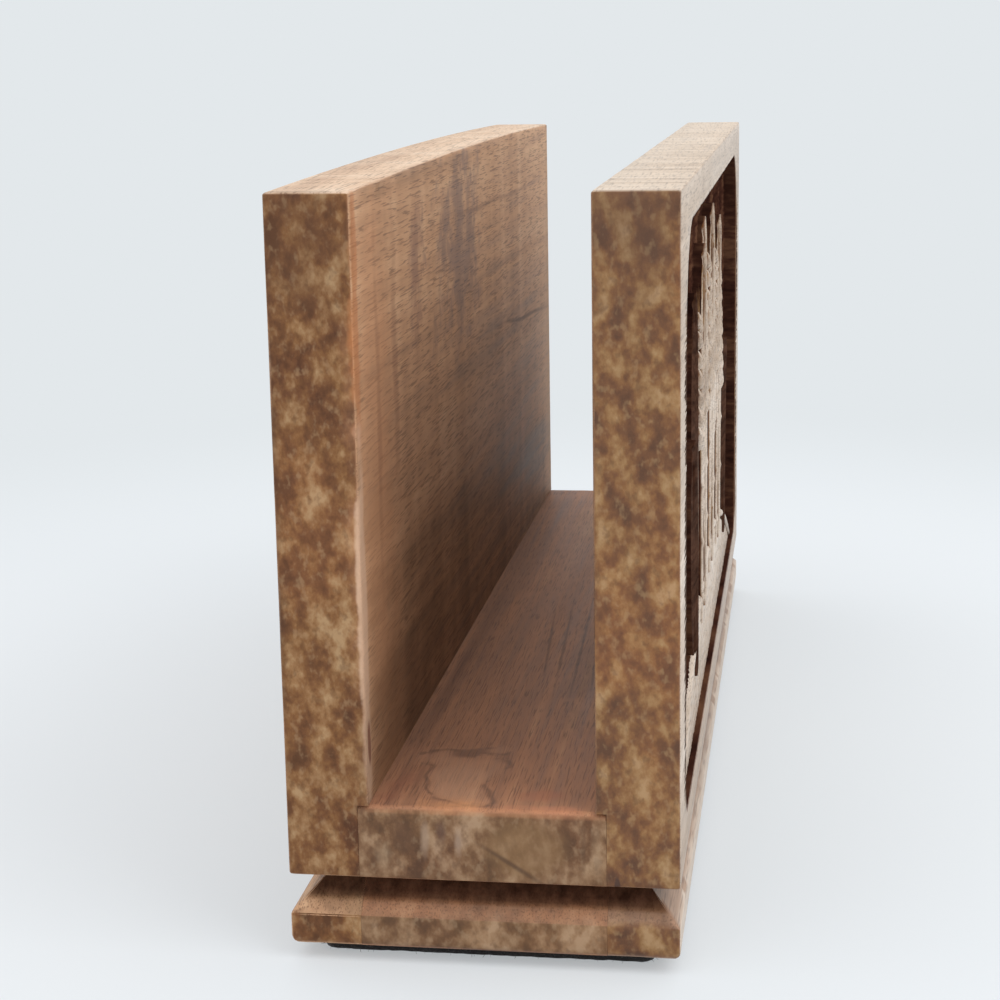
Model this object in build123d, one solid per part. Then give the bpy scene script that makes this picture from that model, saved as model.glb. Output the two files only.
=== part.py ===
from build123d import *
import os
from math import hypot, sqrt

# Napkin holder: two upright boards glued to the sides of a solid core, open at the top and both ends,
# with a felt pad underneath. The boards run the full height, so the glue lines show on the end faces,
# and a mitred groove cut after gluing runs round all three pieces. The front board has a carved panel.
#
# +X runs along the holder, the carved face looks along -Y and +Z is up. The origin is on the surface
# that the holder stands on, under the middle of its base. Every size is in millimetres.

# Overall sizes
length = 200.0               # end face to end face
board_height = 100.0         # wood only, from the underside of the base to the top of the boards
slot_width = 30.0            # between the boards, where folded napkins stand on edge
back_thickness = 11.0
front_thickness = 11.0
back_crown = 0.8             # rise of the back board's top edge from its ends to its middle

# Core and its joints
floor_height = 20.0          # slot floor above the underside of the wood
rabbet_depth = 1.5           # how far the core is let into each board
glue_line = 0.1              # thickness of the glue between the core and a board

# Groove round the base
rim_height = 4.5             # upright edge of the base under the groove
groove_height = 5.5          # height of the groove's mouth, above the rim
groove_depth = 5.5           # how far its level ceiling runs in

# Eased edges
arris_radius = 0.5           # top, end and groove edges
floor_end_radius = 1.0       # ends of the slot floor
foot_radius = 1.2            # lower edges of the base

# Felt pad
felt_thickness = 2.0
felt_inset = 3.5             # from the base's outer faces

# Carved panel on the front board
stile_width = 12.0           # frame left at each end of the panel
top_rail = 5.6               # frame left over the panel
bottom_rail = 4.8            # frame left between the panel and the groove
recess_depth = 3.0
recess_top_radius = 14.0
recess_bottom_radius = 5.0

# Mound at the foot of the carving
mound_crest = 19.0           # its height above the bottom of the recess
mound_end_gap = 4.0          # between its ends and the sides of the recess
mound_drop = 0.8             # its surface below the face of the board

# Leaves that fan out from behind the mound
leaf_pairs = 4               # on each side of the middle leaf
leaf_half_width = 6.2        # of an outline at its widest
leaf_stoutness = 0.2         # most that a short leaf's half width may be of its length
leaf_bow = 0.013             # share of its length that a leaf bends outwards, for each place from the middle
leaf_root = 5.0              # how far a leaf starts below the mound's edge
leaf_root_margin = 40.0      # outermost root from the side of the recess
leaf_tip_margin = 34.0       # outermost tip from the side of the recess
middle_tip_gap = 3.4         # middle tip from the top of the recess
outer_tip_height = 46.0      # outermost tips above the bottom of the recess
near_leaf_drop = 0.5         # surface of every second leaf below the face of the board
far_leaf_drop = 1.2          # surface of the leaves between them

# Grain ears, each on a stalk between two leaves
ear_pairs = 3
ear_length = 24.0
ear_half_width = 3.8
ear_drop = 0.3               # surface below the face of the board
ear_below_leaf_tips = 7.0    # ear tip under the line of the leaf tips
stalk_width = 1.6
stalk_drop = 0.7

# Places worked out from the sizes above
width = back_thickness + slot_width + front_thickness
back_inner_y = width / 2 - back_thickness
front_inner_y = -width / 2 + front_thickness
wood_z = felt_thickness
rim_z = wood_z + rim_height
ceiling_z = rim_z + groove_height
floor_z = wood_z + floor_height
top_z = wood_z + board_height

recess_half_length = length / 2 - stile_width
recess_bottom_z = ceiling_z + bottom_rail
recess_top_z = top_z - top_rail

root_pitch = (recess_half_length - leaf_root_margin) / leaf_pairs
tip_pitch = (recess_half_length - leaf_tip_margin) / leaf_pairs
middle_tip_z = recess_top_z - middle_tip_gap
outer_tip_z = recess_bottom_z + outer_tip_height


def slab(x_low, x_high, y_low, y_high, z_low, z_high):
    """A box given by its lowest and highest corners."""
    box = Box(x_high - x_low, y_high - y_low, z_high - z_low)
    return Pos((x_low + x_high) / 2, (y_low + y_high) / 2, (z_low + z_high) / 2) * box


def groove_cutter():
    """The space round the base that the groove takes: a slab less a block with sloping sides."""
    outside = slab(-length, length, -width, width, rim_z, ceiling_z)
    foot = Plane.XY.offset(rim_z) * Rectangle(length, width)
    crown = Plane.XY.offset(ceiling_z) * Rectangle(length - 2 * groove_depth, width - 2 * groove_depth)
    return outside - loft([foot, crown])


def crown():
    """The low arch on top of the back board."""
    arc = ThreePointArc((-length / 2, top_z), (0, top_z + back_crown), (length / 2, top_z))
    outline = make_face([arc, Line((length / 2, top_z), (-length / 2, top_z))])
    outer_face = Plane(origin=(0, width / 2, 0), x_dir=(1, 0, 0), z_dir=(0, -1, 0))
    return extrude(outer_face * outline, amount=back_thickness)


def finished_outline():
    """The glued-up holder as one solid, grooved and with its edges eased; each piece is cut from it."""
    body = slab(-length / 2, length / 2, -width / 2, width / 2, wood_z, top_z)
    body -= slab(-length, length, front_inner_y, back_inner_y, floor_z, top_z + 1)
    body += crown()
    body -= groove_cutter()

    def on_outer_face(edge):
        middle = edge.center()
        return abs(abs(middle.X) - length / 2) < 0.01 or abs(abs(middle.Y) - width / 2) < 0.01

    def at_height(edge, height):
        box = edge.bounding_box()
        return abs(box.min.Z - height) < 0.01 and abs(box.max.Z - height) < 0.01

    floor_ends = body.edges().filter_by(lambda edge: at_height(edge, floor_z) and on_outer_face(edge))
    body = fillet(floor_ends, floor_end_radius)
    edges = body.edges()
    eased = edges.filter_by(Axis.Z)
    eased += edges.filter_by(lambda edge: edge.bounding_box().min.Z > top_z - 0.01)
    eased += edges.filter_by(lambda edge: at_height(edge, rim_z) and on_outer_face(edge))
    eased += edges.filter_by(lambda edge: at_height(edge, ceiling_z) and on_outer_face(edge))

    body = fillet(eased, arris_radius)
    foot_edges = body.edges().filter_by(lambda edge: at_height(edge, wood_z))
    body = fillet(foot_edges, foot_radius)
    return body


def core_block(outline):
    """The middle of the sandwich: its top is the slot floor and its sides are let into the boards."""
    side = rabbet_depth - glue_line
    return outline & slab(-length, length, front_inner_y - side, back_inner_y + side, 0, floor_z)


def back_board(outline):
    board = outline & slab(-length, length, back_inner_y, width, 0, top_z + back_crown)
    rabbet = slab(-length, length, back_inner_y - 1, back_inner_y + rabbet_depth, 0, floor_z + glue_line)
    return board - rabbet


def panel_plane(drop):
    """A plane parallel to the carved face, seen from the front, this far below it."""
    return Plane(origin=(0, -width / 2 + drop, 0), x_dir=(1, 0, 0), z_dir=(0, -1, 0))


def raised(outline, drop):
    """A flat shape raised from the recess floor to this far below the face of the board."""
    return extrude(panel_plane(recess_depth) * outline, amount=recess_depth - drop)


def bowed_leaf(root, tip, left_bulge, right_bulge):
    """A pointed outline between two arcs from root to tip, each this far from the straight line."""
    root_x, root_z = root
    tip_x, tip_z = tip
    run = hypot(tip_x - root_x, tip_z - root_z)
    side_x = (tip_z - root_z) / run
    side_z = -(tip_x - root_x) / run
    middle_x = (root_x + tip_x) / 2
    middle_z = (root_z + tip_z) / 2
    left = (middle_x - side_x * left_bulge, middle_z - side_z * left_bulge)
    right = (middle_x + side_x * right_bulge, middle_z + side_z * right_bulge)
    return make_face([ThreePointArc(root, left, tip), ThreePointArc(tip, right, root)])


def mound_edge_z(x):
    """Height of the mound's upper edge, an arc between its two ends."""
    half_span = recess_half_length - mound_end_gap
    radius = (half_span ** 2 + mound_crest ** 2) / (2 * mound_crest)
    return recess_bottom_z + mound_crest - radius + sqrt(radius ** 2 - x ** 2)


def tip_line_z(place):
    """Height of the line of leaf tips, half an ellipse; place counts leaves from the middle one."""
    return outer_tip_z + (middle_tip_z - outer_tip_z) * sqrt(1 - (place / leaf_pairs) ** 2)


def recess():
    middle_z = (recess_bottom_z + recess_top_z) / 2
    outline = Pos(0, middle_z) * Rectangle(2 * recess_half_length, recess_top_z - recess_bottom_z)
    outline = fillet(outline.vertices().group_by(Axis.Y)[-1], recess_top_radius)
    outline = fillet(outline.vertices().sort_by(Axis.Y)[:2], recess_bottom_radius)
    return extrude(panel_plane(recess_depth) * outline, amount=recess_depth + 1)


def mound():
    left = (mound_end_gap - recess_half_length, recess_bottom_z)
    right = (recess_half_length - mound_end_gap, recess_bottom_z)
    arc = ThreePointArc(left, (0, recess_bottom_z + mound_crest), right)
    return raised(make_face([arc, Line(right, left)]), mound_drop)


def leaf(place):
    root_x = root_pitch * place
    root = (root_x, mound_edge_z(root_x) - leaf_root)
    tip = (tip_pitch * place, tip_line_z(place))
    run = hypot(tip[0] - root[0], tip[1] - root[1])
    half_width = min(leaf_half_width, leaf_stoutness * run)
    bow = leaf_bow * place * run
    drop = near_leaf_drop if place % 2 == 0 else far_leaf_drop
    return raised(bowed_leaf(root, tip, half_width + bow, half_width - bow), drop)


def ear_line(place):
    """Stalk foot, ear foot and ear tip of the ear between two leaves, in one straight line."""
    foot_x = root_pitch * place
    foot = Vector(foot_x, mound_edge_z(foot_x) - leaf_root)
    tip = Vector(tip_pitch * place, tip_line_z(place) - ear_below_leaf_tips)
    along = (tip - foot).normalized()
    return foot, tip - along * ear_length, tip


def ear(place):
    foot, ear_foot, tip = ear_line(place)
    outline = bowed_leaf((ear_foot.X, ear_foot.Y), (tip.X, tip.Y), ear_half_width, ear_half_width)
    side = (tip - foot).normalized().rotate(Axis.Z, 90) * (stalk_width / 2)
    ear_middle = (ear_foot + tip) / 2
    corners = [foot + side, ear_middle + side, ear_middle - side, foot - side]
    stalk = make_face(Polyline([(corner.X, corner.Y) for corner in corners], close=True))
    return raised(stalk, stalk_drop) + raised(outline, ear_drop)


def front_board(outline):
    board = outline & slab(-length, length, -width, front_inner_y, 0, top_z)
    board -= slab(-length, length, front_inner_y - rabbet_depth, front_inner_y + 1, 0, floor_z + glue_line)
    board -= recess()
    board += mound()
    for place in range(-leaf_pairs, leaf_pairs + 1):
        board += leaf(place)
    for pair in range(ear_pairs):
        board += ear(pair + 0.5)
        board += ear(-pair - 0.5)
    return board


def felt_pad():
    half_length = length / 2 - felt_inset
    half_width = width / 2 - felt_inset
    return slab(-half_length, half_length, -half_width, half_width, 0, felt_thickness)


os.makedirs("parts", exist_ok=True)
outline = finished_outline()
pieces = {
    "back_board": back_board(outline),
    "core_block": core_block(outline),
    "front_board": front_board(outline),
    "felt_pad": felt_pad(),
}
for name, piece in pieces.items():
    piece.label = name
    export_step(piece, f"parts/{name}.step")
    print(name, round(piece.volume), "mm3")
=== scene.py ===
import math
from functools import partial

import bpy
import numpy as np
from mathutils import Matrix, Vector, noise
from mathutils.geometry import tessellate_polygon


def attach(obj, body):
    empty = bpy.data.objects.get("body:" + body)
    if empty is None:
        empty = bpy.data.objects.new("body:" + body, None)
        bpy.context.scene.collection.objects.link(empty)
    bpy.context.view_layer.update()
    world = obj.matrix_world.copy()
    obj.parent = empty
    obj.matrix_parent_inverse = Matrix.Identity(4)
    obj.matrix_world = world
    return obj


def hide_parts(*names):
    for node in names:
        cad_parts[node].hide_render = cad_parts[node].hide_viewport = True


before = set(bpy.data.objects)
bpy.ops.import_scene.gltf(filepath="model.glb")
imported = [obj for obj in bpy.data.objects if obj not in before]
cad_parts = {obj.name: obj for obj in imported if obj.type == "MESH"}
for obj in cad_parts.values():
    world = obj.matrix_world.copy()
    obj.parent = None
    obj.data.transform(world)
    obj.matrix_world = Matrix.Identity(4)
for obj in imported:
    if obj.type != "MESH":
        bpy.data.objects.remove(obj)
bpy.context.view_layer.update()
mm = 0.001  # sizes below are in millimetres
print("frame loaded:", ", ".join(sorted(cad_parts)))


# Small helpers

def linear(hexCode):
    channels = [int(hexCode[i:i + 2], 16) / 255 for i in (1, 3, 5)]
    return tuple(c / 12.92 if c <= 0.04045 else ((c + 0.055) / 1.055) ** 2.4
                 for c in channels) + (1.0,)


def addNode(tree, kind, inputs=(), stops=(), **settings):
    # Inputs go by name or in order: a value, a hex colour, a socket, a node for its first output in
    # use, or a list of these. A kind without "Node" in it is a shader node
    node = tree.nodes.new(kind if "Node" in kind else "ShaderNode" + kind)
    for name, value in settings.items():
        setattr(node, name, value)
    if stops:  # (place, hex) pairs of a colour ramp
        ramp = node.color_ramp.elements
        while len(ramp) < len(stops):
            ramp.new(0.5)
        for element, (place, hexCode) in zip(ramp, stops):
            element.position, element.color = place, linear(hexCode)
    for key, given in inputs.items() if isinstance(inputs, dict) else enumerate(inputs):
        for value in given if isinstance(given, list) else [given]:
            if isinstance(value, bpy.types.Node):
                value = next(socket for socket in value.outputs if socket.enabled)
            if isinstance(value, bpy.types.NodeSocket):
                tree.links.new(value, node.inputs[key])
            else:
                isColour = isinstance(value, str) and value[0] == "#"
                node.inputs[key].default_value = linear(value) if isColour else value
    return node


def newMaterial(name):
    material = bpy.data.materials.new(name)
    material.use_nodes = True
    material.node_tree.nodes.clear()
    return material, partial(addNode, material.node_tree)


def coat(add, colour, layers):
    # Lays (share, colour) layers over a colour, one after another
    for share, tint in layers:
        colour = add("Mix", {"Factor": share, "A": colour, "B": tint}, data_type="RGBA")
    return colour


def finishMaterial(add, height, strength, depth, surface):
    bump = add("Bump", {"Height": height, "Strength": strength, "Distance": depth * mm})
    shader = add("BsdfPrincipled", {"Normal": bump} | surface)
    add("OutputMaterial", {"Surface": shader})


def perMm(size):
    return 1 / (size * mm)  # noise scale whose features are this many mm across


def ripple(place, size, seed):
    return noise.noise(Vector((place / size + 13.7 * seed, 4.1 * seed, 0.37)))  # about -1 to 1


def bell(distance, width):
    return math.exp(-(distance / width) ** 2)


def looseObject(name, points, faces, edges=(), attributes=None):
    mesh = bpy.data.meshes.new(name)
    mesh.from_pydata([tuple(c * mm for c in p) for p in points], edges, faces)
    for key, values in (attributes or {}).items():
        layer = mesh.attributes.new(key, "FLOAT", "POINT")
        layer.data.foreach_set("value", np.asarray(values, np.float32))
    thing = bpy.data.objects.new(name, mesh)
    bpy.context.scene.collection.objects.link(thing)
    return thing


def finishPiece(piece, sharpAngle, materials=(), scorched=None):
    mesh = piece.data
    mesh.polygons.foreach_set("use_smooth", [True] * len(mesh.polygons))
    mesh.set_sharp_from_angle(angle=math.radians(sharpAngle))
    for material in materials:
        mesh.materials.append(material)
    if scorched:  # 1 for each face that takes the second material
        mesh.polygons.foreach_set("material_index", np.asarray(scorched, np.int32))
    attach(piece, "root")
    print(piece.name + ":", len(mesh.polygons), "faces")


def makePiece(name, points, faces, materials, attributes=None, sharpAngle=38, scorched=None):
    # Points that coincide become one, and faces left without an area of their own are dropped
    first, kept, index = {}, [], []
    for k, point in enumerate(points):
        key = tuple(round(c, 4) for c in point)
        if key not in first:
            first[key] = len(kept)
            kept.append(k)
        index.append(first[key])
    rings, dark = [], []
    for k, face in enumerate(faces):
        corners = [index[i] for i in face]
        ring = [a for a, b in zip(corners, corners[1:] + corners[:1]) if a != b]
        if len(set(ring)) > 2:
            rings.append(ring)
            dark.append(scorched[k] if scorched else 0)
    attributes = {key: [values[k] for k in kept] for key, values in (attributes or {}).items()}
    piece = looseObject(name, [points[k] for k in kept], rings, attributes=attributes)
    finishPiece(piece, sharpAngle, materials, dark)
    return piece


def aimed(place, target):
    turn = (target - place).to_track_quat("-Z", "Y")
    return Matrix.Translation(place) @ turn.to_matrix().to_4x4()


# Camera, at the place fitted to the corners of the holder in the photograph

view = {"place": (-358.2, -41.76, 120.34), "aim": (0.0, 11.67, 41.39), "roll": 1.0, "lens": 76.4,
        "sensor": 36, "clipStart": 10}


def makeCamera():
    camera = bpy.data.objects.new("Camera", bpy.data.cameras.new("Camera"))
    bpy.context.scene.collection.objects.link(camera)
    camera.data.lens = view["lens"]
    camera.data.sensor_width = view["sensor"]
    camera.data.clip_start = view["clipStart"] * mm
    roll = Matrix.Rotation(-math.radians(view["roll"]), 4, "Z")
    camera.matrix_world = aimed(Vector(view["place"]) * mm, Vector(view["aim"]) * mm) @ roll
    bpy.context.scene.camera = camera


# Light tent: white all round, brightest above. It is metres across, so its sizes are in metres

tent = {"backdrop": "#E3E8EB", "cloth": "#F4F6FA", "ambient": 0.88, "lampTint": "#FFFDFA",
        "lampTarget": (0, 0, 0.05),
        "lamps": {"topBox": ((0.0, -0.05, 1.1), (1.8, 1.8), 8.0),  # place, size and watts
                  "sideBox": ((-0.35, -0.7, 0.75), (0.8, 0.6), 3.6),
                  "frontBox": ((-0.9, 0.3, 0.4), (0.7, 0.6), 0.9)},
        "floor": "#DCE0E3", "floorHalf": 4.0, "fadeFrom": 0.12, "fadeTo": 0.34, "haze": 0.45}


def seenBy(add, *rays):
    # 1 for these kinds of ray, which see the plain backdrop
    path = add("LightPath").outputs
    share = path[rays[0]]
    for ray in rays[1:]:
        share = add("Math", [share, path[ray]], operation="MAXIMUM")
    return share


def makeTent():
    world = bpy.data.worlds.new("lightTent")
    bpy.context.scene.world = world
    world.use_nodes = True
    world.node_tree.nodes.clear()
    add = partial(addNode, world.node_tree)
    seen = seenBy(add, "Is Camera Ray", "Is Glossy Ray", "Is Transmission Ray")
    ambient = add("Background", {"Color": tent["cloth"], "Strength": tent["ambient"]})
    backdrop = add("Background", {"Color": tent["backdrop"], "Strength": 1.0})
    add("OutputWorld", {"Surface": add("MixShader", [seen, ambient, backdrop])})

    for name, (place, size, watts) in tent["lamps"].items():
        lamp = bpy.data.lights.new(name, "AREA")
        lamp.shape = "RECTANGLE"
        lamp.size, lamp.size_y = size
        lamp.energy = watts
        lamp.color = linear(tent["lampTint"])[:3]
        holder = bpy.data.objects.new(name, lamp)
        holder.matrix_world = aimed(Vector(place), Vector(tent["lampTarget"]))
        bpy.context.scene.collection.objects.link(holder)


def makeFloor():
    # White card that takes the holder's shadow and fades into the tent away from it
    material, add = newMaterial("whiteCard")
    away = add("VectorMath", [add("TexCoord").outputs["Object"]], operation="LENGTH")
    fade = add("MapRange", [away, tent["fadeFrom"], tent["fadeTo"], tent["haze"]],
               interpolation_type="SMOOTHSTEP")
    seen = seenBy(add, "Is Camera Ray", "Is Glossy Ray")
    share = add("Math", [fade, seen], operation="MULTIPLY")
    card = add("BsdfDiffuse", {"Color": tent["floor"]})
    glow = add("Emission", {"Color": tent["backdrop"], "Strength": 1.0})
    add("OutputMaterial", {"Surface": add("MixShader", [share, card, glow])})
    mesh = bpy.data.meshes.new("floor")
    half = tent["floorHalf"]
    mesh.from_pydata([(-half, -half, 0), (half, -half, 0), (half, half, 0), (-half, half, 0)], [],
                     [(0, 1, 2, 3)])
    mesh.materials.append(material)
    floor = bpy.data.objects.new("floor", mesh)
    bpy.context.scene.collection.objects.link(floor)


# Wood: oiled sheesham with the grain along X, so the faces show streaks and pores and the ends show
# mottle. A pattern has its grain in mm, detail, roughness and distortion; patterns that are drawn
# out the same way share a scale and a turn about X in degrees

oiledWood = {
    "patterns": (
        ((1 / 30, 1, 1), 0, {"bands": (9.0, 3, 0.55, 0.5), "streaks": (0.8, 4, 0.62, 0)}),
        ((1, 0.4, 0.06), 0, {"curl": (4.0, 2, 0.5, 0.3)}),
        ((1 / 22, 1, 1), 0, {"pores": (0.11, 1, 0.5, 0)}),
        ((1, 1, 0.75), 18, {"drift": (9.0, 2, 0.5, 0.6), "mottle": (1.7, 5, 0.58, 0),
                            "flecks": (0.6, 2, 0.55, 0)}),
        ((1, 1, 1), 0, {"specks": (0.5, 2, 0.6, 0), "rag": (3.0, 4, 0.65, 0),
                        "smooth": (4.5, 1, 0.4, 0), "sway": (19.0, 1, 0.5, 0)})),
    "sawLine": 0.9, "topFrom": 96.0, "topTo": 99.0, "bend": 6.0, "ior": 1.5,
    "driftStops": (0.36, 0.50, 0.64), "mottleStops": (0.36, 0.45, 0.52, 0.59, 0.67),
    # The cut tones are painted shade, for the roots of grooves and the creases of the carving
    "pore": "#3E2820", "cut": [(0.35, "#2A1610"), (0.65, "#4E3225")]}


def makeWood(name, look):
    material, add = newMaterial(name)
    soft = {"interpolation_type": "SMOOTHSTEP"}
    size = oiledWood
    coordinates = add("TexCoord").outputs["Object"]
    place = add("Mapping", {"Vector": coordinates, "Location": look["shift"]})
    facing = add("SeparateXYZ", [add("NewGeometry").outputs["Normal"]]).outputs
    sideways = add("Math", [facing["X"]], operation="ABSOLUTE")
    endShare = add("MapRange", [sideways, 0.6, 0.92], **soft)
    arris, depth, relief = (add("Attribute", attribute_name=key).outputs["Fac"]
                            for key in ("arris", "cut", "relief"))
    pattern = {}
    for scale, turn, members in size["patterns"]:
        drawn = add("Mapping", {"Vector": place, "Scale": scale,
                    "Rotation": (math.radians(turn), 0, 0)})
        for key, (grain, detail, roughness, distortion) in members.items():
            pattern[key] = add("TexNoise", {
                "Vector": drawn, "Scale": perMm(grain * 2), "Detail": detail,
                "Roughness": roughness, "Distortion": distortion})

    # Long faces: broad colour bands and fine streaks along the grain, faint curl, short dark pores
    tone = add("Mix", {"Factor": 0.38, "A": pattern["bands"], "B": pattern["streaks"]})
    figure = add("Mix", {"Factor": look["curlShare"], "A": tone, "B": pattern["curl"]})
    face = add("ValToRGB", [figure], look["face"])
    layers = []
    if "show" in look:  # painted sheen: the side seen at a grazing angle and the relief tops are painted paler, in place of the white tent's reflection
        outwards = add("MapRange", [facing["Y"], -0.6, -0.95], **soft)
        sheenShare = add("Math", [outwards, relief], operation="MAXIMUM")
        layers.append((sheenShare, add("ValToRGB", [figure], look["show"])))
    if "litTopEdgeTone" in look:  # top edge painted paler than the faces, as painted light from the tent above with its sheen, and lined across by the saw
        body = add("SeparateXYZ", [coordinates]).outputs
        isHigh = add("MapRange", [body["Z"], size["topFrom"] * mm, size["topTo"] * mm])
        upwards = add("MapRange", [facing["Z"], 0.35, 0.85], **soft)
        onTop = add("Math", [isHigh, upwards], operation="MULTIPLY")
        sawn = add("Mapping", {"Vector": place, "Scale": (1, 0.06, 1)})
        saw = add("TexNoise", {"Vector": sawn, "Scale": perMm(size["sawLine"] * 2), "Detail": 3,
                  "Roughness": 0.7})
        lined = add("Mix", {"Factor": look["sawShare"], "A": figure, "B": saw})
        layers.append((onTop, add("ValToRGB", [lined], look["litTopEdgeTone"])))
    pores = add("MapRange", [pattern["pores"], 0.53, 0.68, 0, look["poreShare"]], **soft)
    layers.append((pores, size["pore"]))

    # End grain: mottle of many sizes, drawn out upwards, over a slow drift of hue
    hue, patches = (add("ValToRGB", [pattern[key]], list(zip(size[places], look[colours])))
                    for key, places, colours in (("drift", "driftStops", "endDrift"),
                                                 ("mottle", "mottleStops", "endMottle")))
    flecks = [(add("MapRange", [pattern["flecks"], 0.5, far, 0, 0.4], **soft), look[tint])
              for far, tint in ((0.72, "endLight"), (0.3, "endDark"))]
    layers.append((endShare, coat(add, patches, [(0.28, hue)] + flecks)))

    # Marks of this board, each a ragged ellipsoid: knots, mineral stain, cracks, pale sapwood and
    # other tones, and on the back board painted shade in two places and a painted highlight
    swayed = add("VectorMath", [pattern["sway"].outputs["Color"], (-0.5, -0.5, -0.5)],
                 operation="ADD")
    bend = size["bend"] * mm
    bent = add("VectorMath", [swayed, (bend, 0, bend * 0.4), coordinates], operation="MULTIPLY_ADD")
    for at, radii, tint, share, rag, core, *more in look["marks"]:
        turn, ring = more + [(0, 0, 0), None][len(more):]  # no turn or ring if not given
        local = add("Mapping", {
            "Vector": bent, "Location": tuple(c * mm for c in at),
            "Rotation": tuple(math.radians(a) for a in turn),
            "Scale": tuple(c * mm for c in radii)}, vector_type="TEXTURE")
        away = add("VectorMath", [local], operation="LENGTH")
        ragged = add("Math", [pattern["smooth" if ring else "rag"], rag, away],
                     operation="MULTIPLY_ADD")
        inside = add("MapRange", [ragged, 1 + 0.5 * rag, core + 0.5 * rag, 0, share], **soft)
        layers.append((inside, tint))
        if ring:  # a growth ring along the mark's border
            border = add("Math", [ragged, ring["at"]], operation="SUBTRACT")
            border = add("Math", [border], operation="ABSOLUTE")
            line = add("MapRange", [border, ring["width"], 0.0], **soft)
            broken = add("MapRange", [pattern["rag"], 0.42, 0.58, 0, 0.55], **soft)
            layers.append((add("Math", [line, broken], operation="MULTIPLY"), ring["hex"]))

    darkening = 0.0
    if "teeth" in look:
        # Scorch marks that run out along the grain from the recess's ends, one for each pass
        teeth = look["teeth"]
        end = teeth["recessEnd"]
        out = add("Math", [body["X"]], operation="ABSOLUTE")
        reach = add("MapRange", [out, (end + teeth["length"]) * mm, end * mm])
        passes = add("Mapping", {"Vector": coordinates, "Scale": (0.02, 0, 1)})
        comb, slow = (add("TexNoise", {"Vector": passes, "Scale": perMm(pitch * 2), "Detail": 2})
                      for pitch in (teeth["pitch"], teeth["groupPitch"]))
        both = add("Math", [comb, 2.2, slow], operation="MULTIPLY_ADD")
        burnt = add("Math", [both, 1.0, reach], operation="MULTIPLY_ADD")
        darkening = add("MapRange", [burnt, *teeth["burnt"]], **soft)
        beyond = add("Math", [out, (end - teeth["overlap"]) * mm], operation="GREATER_THAN")
        above = add("MapRange", [body["Z"], *(z * mm for z in teeth["foot"])])
        below = add("MapRange", [body["Z"], *(z * mm for z in teeth["head"]), 0, teeth["share"]])
        for limit in (beyond, above, below, outwards):
            darkening = add("Math", [darkening, limit], operation="MULTIPLY")
        layers.append((darkening, teeth["hex"]))

    # Arrises take their own tone: rubbed wood, with a painted highlight where the eased edge
    # catches the light
    share = look["arrisWearSheenShare"]
    uneven = add("MapRange", [pattern["rag"], 0.44, 0.56, 0.1 * share, share])
    layers.append((add("Math", [arris, uneven], operation="MULTIPLY"), look["edge"]))
    # Painted shade: the cut value darkens the root of the groove on the slopes that face the ends,
    # away from the side lamp, and the veins, creases and pits of the carving, together with the
    # carving's darkening away from the board's middle
    acrossGrain = add("MapRange", [sideways, 0.3, 0.6])
    darkens = add("Math", [acrossGrain, relief], operation="MAXIMUM")
    cut = add("Math", [depth, darkens], operation="MULTIPLY")  # 1 at the bottom of a cut
    layers.append((cut, add("ValToRGB", [pattern["streaks"]], size["cut"])))

    matt = add("Math", [cut, darkening], operation="MAXIMUM")
    specular = add("MapRange", [matt, 0, 0.4, look["specular"], 0.0])
    roughness = add("MapRange", [pattern["streaks"], 0.3, 0.7, look["roughness"] - 0.06,
                    look["roughness"] + 0.08])
    fine = add("Mix", {"Factor": 0.6, "A": pattern["streaks"], "B": pattern["pores"]})
    fine = add("Mix", {"Factor": endShare, "A": fine, "B": pattern["specks"]})
    finishMaterial(add, fine, 0.4, 0.12, {"Base Color": coat(add, face, layers), "IOR": size["ior"],
                   "Roughness": roughness, "Specular IOR Level": specular})
    return material


# Marks go by centre, radii, colour, share, raggedness, solid core, and some by turn and growth ring

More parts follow.
